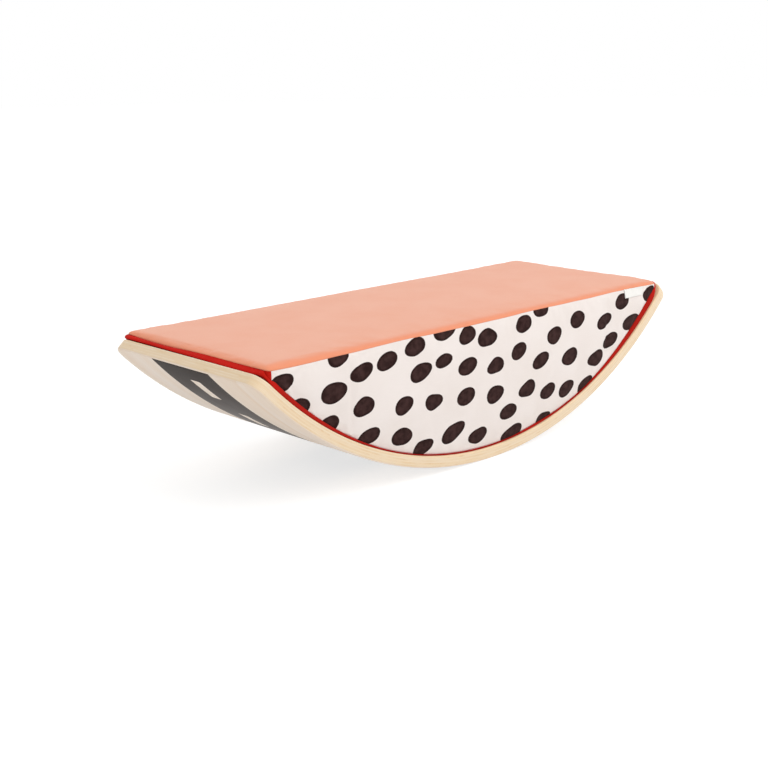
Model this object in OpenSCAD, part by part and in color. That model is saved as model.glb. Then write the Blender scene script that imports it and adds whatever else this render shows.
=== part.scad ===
// Curved balance board of moulded plywood with a fitted play cushion.
// X runs along the board, Y across it, Z up. The board stands on the lowest strip of its convex face at Z = 0.

/* [Board] */
// Length of the flat veneer stack before it is bent, along its middle layer
blank_length = 904; // [700:1:1000]
// Width of the board
board_width = 300; // [240:1:360]
// Bend radius of the concave face
bend_radius = 537; // [480:1:700]
// Thickness of one veneer
veneer_thick = 1.8; // [1.5:0.1:2.5]
// Radius of the four corners, measured on the flat stack
corner_radius = 27; // [15:1:60]
// Radius of the rounded edges all round
edge_round = 4; // [2.5:0.5:6]

/* [Road print] */
// Width of the printed road on the convex face
road_width = 118; // [80:1:160]
// Depth to which the paint lies in the face veneer
ink_depth = 0.3; // [0.2:0.05:0.6]
// Length of one bare lane dash
dash_length = 44; // [30:1:60]
// Width of one lane dash
dash_width = 20; // [10:1:40]
// Corner radius of a lane dash
dash_corner = 2; // [0.5:0.5:5]
// Distance from the start of one dash to the start of the next
dash_pitch = 92; // [70:1:130]
// Distance from the left end of the board to the first dash
dash_start = 33; // [15:1:60]

/* [Cushion] */
// Height of the cushion's top above the inner edges of the board's ends
cushion_rise = 8; // [4:0.5:15]
// Distance from the cushion's long seams to the sides of the board
side_inset = 5; // [5:0.5:15]
// Distance from the cushion's end seams to the inner edges of the board's ends
end_inset = 7; // [3:0.5:20]
// Gap between the cushion and the concave face that it lies on
seat_gap = 0.4; // [0.3:0.1:1]
// Radius of the cushion's four corners in plan
cushion_corner = 12; // [6:1:20]
// Height of the top panel's rolled edge
top_roll = 5; // [3:0.5:8]
// Width of the rolled edges in plan
roll_width = 9; // [5:0.5:14]
// Height of the crown in the middle of the top panel
top_crown = 3; // [1:0.5:8]
// Swell of the side panels between their seams
side_swell = 4.5; // [1:0.5:4.5]
// Thickness of the cover cloth
cloth_thick = 1.2; // [0.8:0.1:2]
// Gap between the cover and the foam block in it
foam_gap = 0.3; // [0.2:0.1:1]

/* [Seam tag] */
// Length of the plain tag along the front seam
tag_length = 46; // [20:1:80]
// Height that hangs below the seam
tag_drop = 12; // [6:1:25]
// Thickness of the folded tag
tag_thick = 0.8; // [0.4:0.1:1.5]
// Distance from the tag to the cushion's right end
tag_end_inset = 44; // [20:1:120]
// Gap between the tag and the panel behind it
tag_gap = 0.2; // [0.1:0.1:0.5]

/* [Zip] */
// Height of the zip's slit under the back seam
zip_slit = 11; // [10:0.5:14]
// Distance from the ends of the zip's chain to the cushion's ends
zip_end_inset = 59; // [45:1:120]
// Depth of the tapes behind the face of the cover
tape_recess = 0.8; // [0.4:0.1:1]
// Thickness of the woven tapes
tape_thick = 0.6; // [0.4:0.1:0.8]
// Slit between the two tapes under the chain
tape_split = 0.6; // [0.4:0.1:1]
// Height of the chain's sewn foot
foot_height = 0.8; // [0.7:0.1:1]
// Width of the chain's sewn foot
foot_width = 2.4; // [2:0.1:3]
// Thickness of the chain's teeth
tooth_thick = 1; // [0.8:0.1:1.4]
// Width of the closed chain over the tips of its teeth
chain_width = 5; // [4.5:0.1:5.5]
// Depth of the notch between two teeth
tooth_notch = 0.7; // [0.4:0.1:1]
// Distance from one tooth to the next
tooth_pitch = 5; // [4:0.5:8]
// Length of an end stop
stop_length = 3; // [2:0.5:5]
// Length of the slider
slider_length = 10; // [9:0.5:12]
// Width of the slider at its mouth
slider_width = 8.4; // [8:0.2:9]
// Width of the slider at its tail
slider_tail = 7; // [6.8:0.2:7.6]
// Thickness of the slider's face
slider_face = 0.8; // [0.6:0.1:1]
// Running gap between the slider and the chain
slider_gap = 0.15; // [0.1:0.05:0.2]
// Radius of the pin that carries the pull
pin_radius = 0.5; // [0.4:0.1:0.6]
// Running gap between the pin and the pull's eye
pin_gap = 0.12; // [0.1:0.02:0.15]
// Outer radius of the pull's eye
eye_radius = 1.2; // [1.1:0.1:1.4]
// Width of the pull's eye between the slider's ears
eye_width = 3.4; // [2.6:0.2:3.8]
// Thickness of each ear
ear_thick = 0.8; // [0.6:0.1:1]
// Length of the pull from the pin to its tip
pull_length = 22; // [15:1:26]
// Width of the pull's tab
pull_width = 6; // [4.5:0.5:7]
// Thickness of the pull's tab
pull_thick = 0.8; // [0.6:0.1:1]
// Radius of the hole in the pull's tab
pull_hole = 1.4; // [1:0.1:1.6]

/* [Hidden] */
$fn = 64;
tiny = 0.001;

// Board
veneer_count = 9;
corner_steps = 6;
long_steps = 45;
edge_steps = 3;
board_thick = veneer_count * veneer_thick;
inner_r = bend_radius;
outer_r = inner_r + board_thick;
middle_r = inner_r + board_thick / 2;
half_blank = blank_length / 2;
half_board = board_width / 2;
half_angle = half_blank / middle_r * 180 / PI;
facet_angle = 2 * (half_blank - corner_radius) / long_steps / middle_r * 180 / PI;
bend_z = outer_r * cos(facet_angle / 2);

// Road print
face_length = 2 * half_angle * PI / 180 * outer_r;
dash_count = floor((face_length - dash_start - dash_length - edge_round) / dash_pitch) + 1;

// Cushion
cushion_steps = 32;
turn_steps = 4;
roll_steps = 3;
swell_steps = 4;
crown_steps = 4;
seat_r = inner_r - seat_gap;
half_cushion = inner_r * sin(half_angle) - end_inset;
half_seam = half_board - side_inset;
rim_z = bend_z - inner_r * cos(half_angle);
seam_z = rim_z + cushion_rise - top_roll;
low_roll = seam_z - seat_z(half_cushion);
full_side = seam_z - seat_z(0) - low_roll;

// Zip
zip_z = seam_z - zip_slit / 2;
half_chain = half_cushion - zip_end_inset;
tape_y = half_seam - tape_recess;
foot_y = tape_y + foot_height;
tooth_y = foot_y + tooth_thick;
face_y = tooth_y + slider_gap + slider_face;
pin_y = face_y + pin_gap + eye_radius;
slider_x = half_chain - stop_length - 2 * slider_gap - slider_length / 2;
ear_z = eye_width / 2 + pin_gap;

// Colours
face_wood = [0.92, 0.83, 0.70];
core_wood = [0.86, 0.74, 0.57];
road_black = [0.11, 0.10, 0.09];
foam_cream = [0.95, 0.92, 0.80];
cloth_salmon = [0.93, 0.71, 0.62];
cloth_dotted = [0.93, 0.89, 0.87];
cloth_red = [0.72, 0.10, 0.09];
tape_black = [0.14, 0.13, 0.13];
zip_metal = [0.62, 0.62, 0.64];

// One long side of a rectangle with round corners, from its left end to its right end, drawn in by inset
function outline(half_l, half_w, radius, inset, turns, steps) = concat(
    [for (k = [0 : turns]) let (a = 90 * (1 - k / turns))
        [radius - half_l - (radius - inset) * sin(a), half_w - radius + (radius - inset) * cos(a)]],
    [for (k = [1 : steps - 1]) [(2 * k / steps - 1) * (half_l - radius), half_w - inset]],
    [for (k = [0 : turns]) let (a = 90 * k / turns)
        [half_l - radius + (radius - inset) * sin(a), half_w - radius + (radius - inset) * cos(a)]]
);

// A point of the flat stack, bent to radius r
function bent(x, y, r) = let (a = x / middle_r * 180 / PI) [r * sin(a), y, bend_z - r * cos(a)];

// A ring goes along the first side and back along the second
function ring(first, second) =
    let (n = len(second)) concat(first, [for (k = [1 : n]) second[n - k]]);

// How far the rounded edge draws the board's outline in at a depth below the nearer face
function edge_inset(depth) = depth >= edge_round ? 0
    : edge_round - sqrt(pow(edge_round, 2) - pow(edge_round - depth, 2));

function board_outline(inset) =
    outline(half_blank, half_board, corner_radius, inset, corner_steps, long_steps);

// Ring of the board at a depth below its concave face
function board_ring(depth) =
    let (side = board_outline(edge_inset(min(depth, board_thick - depth))), r = inner_r + depth)
    ring([for (p = side) bent(p.x, p.y, r)], [for (p = side) bent(p.x, -p.y, r)]);

// Height of the cushion's underside, which follows the concave face
function seat_z(x) = bend_z - sqrt(pow(seat_r, 2) - x * x);

function cushion_outline(inset) = outline(
    half_cushion, half_seam, cushion_corner, inset, turn_steps, cushion_steps);

// Rings of the top panel's and the bottom panel's rolled edges, at depth under the cover's face.
// The roll turns from 0 at the seam to 90 where the flat of the panel starts.
function top_ring(turn, depth) =
    let (side = cushion_outline(depth + roll_width * (1 - cos(turn))),
         z = seam_z + (top_roll - depth) * sin(turn))
    ring([for (p = side) [p.x, p.y, z]], [for (p = side) [p.x, -p.y, z]]);

function low_z(x, turn, depth) = seat_z(x) + depth + (low_roll - depth) * (1 - sin(turn));

function low_ring(turn, depth) =
    let (side = cushion_outline(depth + roll_width * (1 - cos(turn))))
    ring([for (p = side) [p.x, p.y, low_z(p.x, turn, depth)]],
         [for (p = side) [p.x, -p.y, low_z(p.x, turn, depth)]]);

// Outward swell of a side panel between heights low and high, fuller where the panel is taller
function swell(z, low, high) =
    high - low < tiny ? 0
    : side_swell * min(1, 1.6 * (high - low) / full_side) * 4 * (z - low) * (high - z) / pow(high - low, 2);

// Stations along the cushion between the two places where the lower seam rises to a height
function stations(high) =
    let (side = cushion_outline(0), n = len(side))
    [for (i = [0 : n - 1])
        if (min([for (k = [max(0, i - 1) : min(n - 1, i + 1)]) low_z(side[k].x, 0, 0)]) < high - tiny) i];

// One row of points of a side panel, at a share of its height between its two seams
function side_row(share, depth, side, low, high, keep) =
    let (line = cushion_outline(depth))
    [for (i = keep)
        let (p = line[i], a = max(low, low_z(p.x, 0, depth)), b = max(a, high), z = a + (b - a) * share)
        [p.x, side * (p.y + (low == 0 ? swell(z, a, b) : 0)), z]];

// Solid lofted through rings of equal length, with a cap on the first and the last.
// A cap has rows across it, and its middle rises by crown.
module loft(rings, across = 1, crown = [0, 0]) {
    size = len(rings[0]);
    half = size / 2;
    last = len(rings) - 1;
    function cap_points(r, rise) = [
        for (i = [0 : half - 1])
            for (j = [1 : 1 : across - 1])
                let (t = j / across, p = r[i] * (1 - t) + r[size - 1 - i] * t, u = p.x / r[half - 1].x)
                p + [0, 0, rise * 4 * t * (1 - t) * (1 - u * u)]
    ];
    points = concat(
        [for (r = rings) for (p = r) p],
        cap_points(rings[0], crown[0]),
        cap_points(rings[last], crown[1])
    );
    function at_end(i) = i == 0 || i == half - 1;
    function cap_index(k, i, j) =
        j == 0 || (at_end(i) && 2 * j <= across) ? k * size + i
        : j == across || at_end(i) ? k * size + size - 1 - i
        : (last + 1) * size + (k == 0 ? 0 : half * (across - 1)) + i * (across - 1) + j - 1;
    function quad(a, b, c, d) = [[a, b, c], [a, c, d]];
    walls = [
        for (k = [0 : last - 1])
            for (i = [0 : size - 1])
                let (n = (i + 1) % size)
                each quad(k * size + i, k * size + n, (k + 1) * size + n, (k + 1) * size + i)
    ];
    caps = [
        for (i = [0 : half - 2])
            for (j = [0 : across - 1])
                each concat(
                    quad(cap_index(0, i, j), cap_index(0, i, j + 1),
                         cap_index(0, i + 1, j + 1), cap_index(0, i + 1, j)),
                    quad(cap_index(last, i + 1, j), cap_index(last, i + 1, j + 1),
                         cap_index(last, i, j + 1), cap_index(last, i, j))
                )
    ];
    function sound(f) = norm(cross(points[f[1]] - points[f[0]], points[f[2]] - points[f[0]])) > tiny * tiny;
    polyhedron(points = points, faces = [for (f = concat(walls, caps)) if (sound(f)) f], convexity = 6);
}

// One layer of the bent stack between two depths below the concave face
module veneer(number) {
    top = (number - 1) * veneer_thick;
    end = number * veneer_thick;
    outer_face = number == veneer_count;
    depths = number == 1 ? [for (k = [edge_steps : -1 : 0]) top + veneer_thick * pow(k / edge_steps, 2)]
        : outer_face ? [for (k = [0 : edge_steps]) end - veneer_thick * pow(k / edge_steps, 2)]
        : [end, top];
    loft([for (d = depths) board_ring(d)]);
}

// The painted road from its floor in the veneer up to radius r, with the bare dashes left out
module road(r) {
    side = [for (p = board_outline(edge_round)) p.x];
    function road_ring(radius) = ring(
        [for (x = side) bent(x, road_width / 2, radius)],
        [for (x = side) bent(x, -road_width / 2, radius)]);
    difference() {
        loft([road_ring(r), road_ring(outer_r - ink_depth)]);
        for (k = [0 : dash_count - 1])
            lane_dash((dash_start + k * dash_pitch + dash_length / 2) / outer_r * 180 / PI - half_angle);
    }
}

module lane_dash(angle) {
    translate([0, 0, bend_z])
        rotate([0, -angle, 0])
            translate([0, 0, -outer_r])
                linear_extrude(4, center = true)
                    round_rectangle(dash_length, dash_width, dash_corner);
}

module round_rectangle(length, width, radius) {
    square([length - 2 * radius, width], center = true);
    square([length, width - 2 * radius], center = true);
    for (x = [-1, 1])
        for (y = [-1, 1])
            translate([x * (length / 2 - radius), y * (width / 2 - radius)])
                circle(radius);
}

// Side panel of the cover between two heights, from its inner to its outer face
module side_panel(side, low, high, inner = cloth_thick, outer = 0, rows = swell_steps) {
    keep = stations(high);
    loft([
        for (k = [0 : rows])
            let (back = side_row(k / rows, side > 0 ? outer : inner, side, low, high, keep),
                 front = side_row(k / rows, side > 0 ? inner : outer, side, low, high, keep))
            ring(back, front)
    ]);
}

module concave_face_veneer() {
    color(face_wood) veneer(1);
}

module core_veneer(number) {
    color(number % 2 == 0 ? core_wood : face_wood) veneer(number);
}

module convex_face_veneer() {
    color(face_wood)
        difference() {
            veneer(veneer_count);
            road(outer_r + veneer_thick);
        }
}

module road_print() {
    color(road_black) road(outer_r);
}

// Foam block that fills the cover
module foam_core() {
    depth = cloth_thick + foam_gap;
    turns = [for (k = [0 : roll_steps]) 90 * k / roll_steps];
    whole = [for (i = [0 : len(cushion_outline(0)) - 1]) i];
    step = 1 / swell_steps;
    function back(share) = side_row(share, depth, 1, 0, seam_z - zip_slit, whole);
    function front(share) = side_row(share, depth, -1, 0, seam_z, whole);
    color(foam_cream)
        difference() {
            loft(concat(
                [for (k = [roll_steps : -1 : 0]) low_ring(turns[k], depth)],
                [for (k = [1 : swell_steps - 1]) ring(back(k * step), front(k * step))],
                [ring(back(1), (front(1 - step) + front(1)) / 2)],
                [for (t = turns) top_ring(t, depth)]
            ), crown_steps, [0, top_crown]);
            zip_channel();
        }
}

// Room in the foam behind the zip's tapes
module zip_channel() {
    height = zip_slit + 2 * cloth_thick;
    translate([-half_cushion, tape_y - tape_thick - foam_gap, zip_z - height / 2])
        cube([2 * half_cushion, side_swell + cloth_thick + tape_thick + foam_gap, height]);
}

module top_panel() {
    turns = [for (k = [0 : roll_steps]) 90 * k / roll_steps];
    color(cloth_salmon)
        loft(concat(
            [for (k = [roll_steps : -1 : 0]) top_ring(turns[k], cloth_thick)],
            [for (t = turns) top_ring(t, 0)]
        ), crown_steps, [top_crown, top_crown]);
}

module bottom_panel() {
    turns = [for (k = [0 : roll_steps]) 90 * k / roll_steps];
    color(cloth_red)
        loft(concat(
            [for (k = [roll_steps : -1 : 0]) low_ring(turns[k], 0)],
            [for (t = turns) low_ring(t, cloth_thick)]
        ));
}

module front_panel() {
    color(cloth_dotted) side_panel(-1, 0, seam_z);
}

module back_panel() {
    color(cloth_dotted) side_panel(1, 0, seam_z - zip_slit);
}

// Plain folded tag, caught in the front seam near the right end
module seam_tag() {
    rows = 4;
    right = half_cushion - tag_end_inset;
    function tag_row(z, offset) = [
        for (k = [0 : rows])
            let (x = right - tag_length * (1 - k / rows))
            [x, -half_seam - swell(z, low_z(x, 0, 0), seam_z) - offset, z]
    ];
    color("white")
        loft([
            for (k = [0 : rows])
                let (z = seam_z - tag_drop * (1 - k / rows))
                ring(tag_row(z, tag_gap), tag_row(z, tag_gap + tag_thick))
        ]);
}

module upper_zip_tape() {
    color(tape_black)
        side_panel(1, zip_z + tape_split / 2, seam_z, tape_recess + tape_thick, tape_recess, 1);
}

module lower_zip_tape() {
    color(tape_black)
        side_panel(1, seam_z - zip_slit, zip_z - tape_split / 2, tape_recess + tape_thick, tape_recess, 1);
}

// Lays a flat drawing, with X along the zip and Y up, on the back of the cushion at depth y
module on_back(y, thick) {
    translate([0, y + thick, zip_z])
        rotate([90, 0, 0])
            linear_extrude(thick)
                children();
}

// Closed chain: a sewn foot on the tapes, and a row of teeth from both sides
module zip_chain() {
    count = floor((2 * half_chain - 2 * stop_length) / tooth_pitch / 2);
    start = -count * tooth_pitch;
    function edge(side) = [
        for (k = [0 : 2 * count - 1])
            for (c = [[0, 1], [0.5, 1], [0.5, 0], [1, 0]])
                [start + (k + c[0]) * tooth_pitch, side * (chain_width / 2 - tooth_notch * (1 - c[1]))]
    ];
    lower = edge(-1);
    upper = edge(1);
    color(tape_black)
        union() {
            on_back(tape_y, foot_height + tooth_thick / 2)
                square([2 * half_chain, foot_width], center = true);
            on_back(foot_y, tooth_thick)
                polygon(concat(lower, [for (k = [1 : len(upper)]) upper[len(upper) - k]]));
        }
}

// Two stops pressed on the ends of the chain's foot
module zip_stops() {
    color(zip_metal)
        for (side = [-1, 1])
            translate([side * (half_chain - stop_length / 2), 0, 0])
                difference() {
                    on_back(tape_y, foot_height + tooth_thick)
                        square([stop_length, chain_width], center = true);
                    on_back(tape_y - tiny, foot_height + tooth_thick / 2 + tiny)
                        square([stop_length + 2, foot_width], center = true);
                }
}

// Slider that wraps the chain's teeth, with two ears and the pin for the pull
module zip_slider() {
    lip_y = tape_y + slider_gap;
    color(zip_metal)
        translate([slider_x, 0, 0]) {
            difference() {
                on_back(lip_y, face_y - lip_y)
                    slider_outline();
                on_back(foot_y - slider_gap, tooth_thick + 2 * slider_gap)
                    square([slider_length + 2, chain_width + 2 * slider_gap], center = true);
                on_back(lip_y - 1, foot_height + 1)
                    square([slider_length + 2, foot_width + 2 * slider_gap], center = true);
            }
            for (side = [-1, 1])
                translate([0, 0, zip_z + side * (ear_z + ear_thick / 2)])
                    slider_ear();
            translate([0, pin_y, zip_z])
                cylinder(r = pin_radius, h = 2 * ear_z + ear_thick, center = true);
        }
}

module slider_outline() {
    mouth = slider_width / 2;
    tail = slider_tail / 2;
    end = slider_length / 2;
    polygon([[-end, -tail], [end / 2, -mouth], [end, -tail], [end, tail], [end / 2, mouth], [-end, tail]]);
}

module slider_ear() {
    linear_extrude(ear_thick, center = true) {
        translate([0, pin_y])
            circle(eye_radius);
        translate([-eye_radius, face_y - slider_face / 2])
            square([2 * eye_radius, pin_y - face_y + slider_face / 2]);
    }
}

// Pull that swings on the slider's pin; at rest it lies flat along the zip
module zip_pull() {
    bore = pin_radius + pin_gap;
    color(zip_metal)
        translate([slider_x, pin_y, zip_z])
            difference() {
                union() {
                    cylinder(r = eye_radius, h = eye_width, center = true);
                    translate([0, -pull_thick / 2, -eye_width / 2])
                        cube([pull_length / 2, pull_thick, eye_width]);
                    rotate([90, 0, 0])
                        linear_extrude(pull_thick, center = true)
                            pull_tab();
                }
                cylinder(r = bore, h = eye_width + 2, center = true);
            }
}

module pull_tab() {
    neck = 2 * eye_radius + pin_gap;
    difference() {
        translate([(neck + pull_length) / 2, 0])
            round_rectangle(pull_length - neck, pull_width, pull_width / 3);
        translate([pull_length - pull_width / 2, 0])
            circle(pull_hole);
    }
}

concave_face_veneer();
for (number = [2 : veneer_count - 1])
    core_veneer(number);
convex_face_veneer();
road_print();
foam_core();
top_panel();
front_panel();
back_panel();
bottom_panel();
seam_tag();
upper_zip_tape();
lower_zip_tape();
zip_chain();
zip_stops();
zip_slider();
zip_pull();
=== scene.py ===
"""Looks of a curved balance board with a fitted cushion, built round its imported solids.

Lengths are in metres, in the frame of the solids: X along the board, Y across it, Z up.
Tones are screen colours, from 0 to 255.
"""

from contextlib import contextmanager
from math import copysign, cos, exp, pi, radians, sin, sqrt

import bmesh
import bpy
import numpy as np
from mathutils import Matrix, Vector, noise
from mathutils.bvhtree import BVHTree

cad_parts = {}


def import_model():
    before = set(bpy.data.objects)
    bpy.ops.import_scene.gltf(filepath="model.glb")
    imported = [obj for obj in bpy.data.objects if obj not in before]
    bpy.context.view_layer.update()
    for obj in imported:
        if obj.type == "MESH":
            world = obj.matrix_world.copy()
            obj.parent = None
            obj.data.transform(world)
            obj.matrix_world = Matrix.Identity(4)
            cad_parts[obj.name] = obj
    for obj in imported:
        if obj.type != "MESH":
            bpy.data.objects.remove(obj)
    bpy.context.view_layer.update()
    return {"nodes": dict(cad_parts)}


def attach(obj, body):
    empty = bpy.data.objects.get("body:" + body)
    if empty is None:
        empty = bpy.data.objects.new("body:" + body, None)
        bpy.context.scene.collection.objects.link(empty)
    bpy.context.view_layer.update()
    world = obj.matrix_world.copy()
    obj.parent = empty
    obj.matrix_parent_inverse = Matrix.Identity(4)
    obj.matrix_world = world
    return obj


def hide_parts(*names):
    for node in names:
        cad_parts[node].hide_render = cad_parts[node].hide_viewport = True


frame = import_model()

# Board; its corners and edges follow the photograph, and the solids' corner sets the height of the bend
BLANK_LENGTH = 0.904
BOARD_WIDTH = 0.300
BEND_RADIUS = 0.537
VENEER_THICK = 0.0018
VENEER_COUNT = 9
CORNER_RADIUS = 0.020
EDGE_ROUND = 0.0026
SOLID_CORNER = 0.027
SOLID_FACETS = 45
BOARD_THICK = VENEER_COUNT * VENEER_THICK
OUTER_R = BEND_RADIUS + BOARD_THICK
MIDDLE_R = BEND_RADIUS + BOARD_THICK / 2
HALF_BLANK = BLANK_LENGTH / 2
HALF_BOARD = BOARD_WIDTH / 2
HALF_ANGLE = HALF_BLANK / MIDDLE_R
BEND_Z = OUTER_R * cos((HALF_BLANK - SOLID_CORNER) / SOLID_FACETS / MIDDLE_R)
VENEERS = [
    ("concave_face_veneer", "face_veneer"),
    *[(f"core_veneer_{k}", "cross_veneer" if k % 2 == 0 else "long_veneer") for k in range(2, VENEER_COUNT)],
    ("convex_face_veneer", "face_veneer"),
]

# Fineness of the board's mesh
CORNER_STEPS = 14
LONG_STEPS = 180
ACROSS_STEPS = 6
ROUND_STEPS = 18

# Road print
ROAD_WIDTH = 0.118
DASH_LENGTH = 0.044
DASH_WIDTH = 0.020
DASH_CORNER = 0.002
DASH_PITCH = 0.092
DASH_START = 0.033
DASH_COUNT = 10
PAINT_PROUD = 0.00006
PAINT_THICK = 0.00016
PAINT_WRAP = radians(25)
PAINT_LAYERS = 5
WRAP_STEPS = 5
# Length along the convex face from its middle to where its end starts to turn round
ROAD_LIMIT = (HALF_BLANK - EDGE_ROUND) / MIDDLE_R * OUTER_R

# Cushion
END_INSET = 0.007
SIDE_INSET = 0.005
SEAT_GAP = 0.0004
SEAM_RISE = 0.003
HALF_CUSHION = BEND_RADIUS * sin(HALF_ANGLE) - END_INSET
HALF_SEAM = HALF_BOARD - SIDE_INSET
SEAT_R = BEND_RADIUS - SEAT_GAP
SEAM_Z = BEND_Z - BEND_RADIUS * cos(HALF_ANGLE) + SEAM_RISE
# Corners along and across the cushion: front left, front right, back right, back left
CUSHION_CORNERS = [(0.0096, 0.017), (0.018, 0.015), (0.0096, 0.0096), (0.0096, 0.0096)]
TOP_ROLL = 0.0044
ROLL_WIDTH = 0.009
TOP_CROWN = 0.0008
TOP_DIP, DIP_START, DIP_LENGTH = 0.0014, 0.02, 0.36
TOP_PINCH = 0.0009
LOW_PINCH = 0.0007
SIDE_SWELL = 0.0025
SWELL_RAMP = 1.6
CLOTH_THICK = 0.0012
ZIP_SLIT = 0.011
SLIT_SHARE = 0.45

# Top seam: sag and wander of the front, rise, dip and wander of the left end, sink and wander of the right
FRONT_SAG, FRONT_WANDER = 0.0014, 0.0016
LEFT_RISE, LEFT_WANDER = 0.0010, 0.0004
LEFT_DIP, LEFT_DIP_Y, LEFT_DIP_REACH = 0.0024, 0.065, 0.055
RIGHT_SINK, RIGHT_WANDER = 0.0016, 0.0006

# Droop of the front right corner: its middle, reach and depth at the seam and on top
DROOP_X, DROOP_Y, DROOP_REACH = 0.390, -0.150, 0.030
SEAM_DROOP, TOP_DROOP = 0.0012, 0.0022

# Height of the red strip under the side panels: least, at a bulge, and added towards the left and right ends
STRIP_LEAST = 0.0008
STRIP_BULGE, BULGE_X, BULGE_REACH = 0.0018, 0.095, 0.045
STRIP_LEFT, LEFT_START, LEFT_REACH, LEFT_POWER = 0.0096, 0.14, 0.24, 1.6
STRIP_RIGHT, RIGHT_START, RIGHT_REACH, RIGHT_POWER = 0.0126, 0.195, 0.17, 1.3
STRIP_LIMIT_LEFT, STRIP_LIMIT_RIGHT = 0.44, 0.66

# Turn of the red edge from its seam to the underside: outward, and as a share of its height at the sides
# or above the top seam at the ends, where it lies over the edge of the board
RED_SIDE = [(0.0008, 0.84), (0.0016, 0.60), (0.0020, 0.34), (0.0020, 0.12), (0.0014, 0.0), (-0.0030, 0.0)]
RED_END = [(0.0026, -0.0006), (0.0047, -0.0016), (0.0058, -0.0029), (0.0056, -0.0038), (0.0042, -0.0042),
           (0.0010, -0.0048)]
RED_END_RIGHT = 0.4
NOSE_TILT, TILT_REACH = 0.0006, 0.08

# Fineness of the cushion's mesh
LONG_CELLS = 124
END_CELLS = 44
CORNER_CELLS = 3
ROLL_STEPS = 6
SIDE_ROWS = 26
BAND_ROWS = 3
NX = LONG_CELLS + 2 * CORNER_CELLS
NY = END_CELLS + 2 * CORNER_CELLS

# Filling of the cover, gathers along its seams and drift between them
PRESSURE = 3.0
SLACK = 0.008
SIM_FRAMES = 20
SWELL_LIMIT = {"top": 0.0012, "front": 0.0040, "back": 0.0036}
UNEVEN = {"top": 0.00025, "front": 0.0006, "back": 0.0006}
GATHER_SHARE, GATHER_LENGTH, GATHER_REACH, GATHER_START = 0.75, 0.013, 0.011, 0.002
DRIFT_SIZE, DRIFT_START = (0.075, 0.06, 0.11), 0.02

# Foam behind the cloth: inset, inset at the ends, lift off the seat and rise over the top seam
FOAM_INSET, FOAM_END, FOAM_LIFT, FOAM_RISE = 0.0035, 0.006, 0.0028, 0.0010
FOAM_DETAIL = 0.2

# Printed dots: half sizes are least, spread, and added to the large ones
DOT_LEAN, LEAN_SPREAD = radians(12), 0.10
DOT_FIELD = (0.42, -0.03, 0.22)
DOT_COUNT = 104
DOT_TRIES = 300
DOT_GAP = 0.0060
DOT_STRETCH = 1.25
DOT_LENGTH = (0.0164, 0.0034, 0.0045)
DOT_WIDTH = (0.0104, 0.0020, 0.0011)
LARGE_FROM = 0.85
DOT_EGG, DOT_WOBBLE, DOT_PHASE = 0.16, 0.06, 6.28
SHRINK_ROUNDS, SHRINK = 60, 0.975
FRONT_SEED, BACK_SEED = 25, 11

# Tag in the front seam
TAG_RIGHT = HALF_CUSHION - 0.044
TAG_WIDTH, TAG_DROP, TAG_TUCK = 0.046, 0.012, 0.0006
TAG_FOLD, TAG_CLEAR, TAG_CURL = 0.0008, 0.00035, 0.0003
TAG_THICK = 0.00022

# Zip
ZIP_Z = SEAM_Z - ZIP_SLIT / 2
HALF_CHAIN = HALF_CUSHION - 0.059
SLIT_END = HALF_CHAIN + 0.006
TAPE_Y = HALF_SEAM - 0.0008
TAPE_THICK = 0.0006
TAPE_SPLIT = 0.0006
TAPE_HEM = 0.0004
TAPE_TUCK = 0.008
TAPE_RIPPLE = 0.00012
FOOT_Y = TAPE_Y + 0.0008
TOOTH_Y = FOOT_Y + 0.001
TOOTH_PITCH = 0.0025
TOOTH_SIDES = 8
TOOTH_LONG, TOOTH_DEEP = 0.001, 0.00095
# Places across the chain and radii of a tooth
TOOTH_PROFILE = [(0.0024, 0.30), (0.0022, 0.46), (0.0014, 0.50), (0.0004, 0.50), (-0.0002, 0.56),
                 (-0.0007, 0.50), (-0.0009, 0.30)]
CHAIN_END = 0.0035
CORD_Y = (TAPE_Y + FOOT_Y) / 2 + 0.0002
CORD_DEEP, CORD_TALL = 0.0006, 0.00115
CORD_STEPS, CORD_SIDES = 200, 10
STITCH_PITCH, STITCH_LENGTH, STITCH_BELOW = 0.0034, 0.0026, 0.0026
STITCH_RADIUS = 0.00024
TACK_COUNT, TACK_PITCH, TACK_LENGTH = 20, 0.0006, 0.0028
TACK_OUT, TACK_LOW, TACK_WAY = 0.0016, 0.001, (1, 0, 0.12)

# Wood: pale, honey and deep tones of the cross veneers, the long veneers and the convex face; the convex face
# faces down and gets paler tones as painted light
WOOD_TONES = [
    ((238, 216, 185), (232, 203, 161), (220, 181, 128)),
    ((240, 220, 192), (234, 206, 165), (222, 184, 130)),
    ((249, 232, 215), (243, 220, 195), (232, 200, 163)),
]
WOOD_PORE = (176, 136, 92)
WOOD_GLUE = (196, 160, 116)

# Cloth: two tones of the dye, and a darker tone painted as shade between the threads
SALMON = ((236, 166, 137), (238, 173, 146), (218, 141, 112))
DOTTED = ((238, 228, 222), (242, 233, 228), (212, 200, 194))
RED = ((200, 22, 10), (210, 30, 16), (154, 12, 6))
# Painted shade where the top turns down to its seam, painted shade in the red creases, then the dots' ink
EDGE_SHADE_TONE = (238, 142, 102)
CREASE_SHADE_TONE = (172, 26, 14)
DOT_INK = ((39, 19, 17), (65, 42, 40))

# Camera fitted to the photograph
CAMERA_PLACE = (-1.26786, -1.26972, 0.55136)
CAMERA_TURN = radians(-43.494)
CAMERA_DROP = radians(14.765)
CAMERA_ROLL = radians(-0.800)
CAMERA_LENS = 60.0
CAMERA_SENSOR = 36

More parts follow.
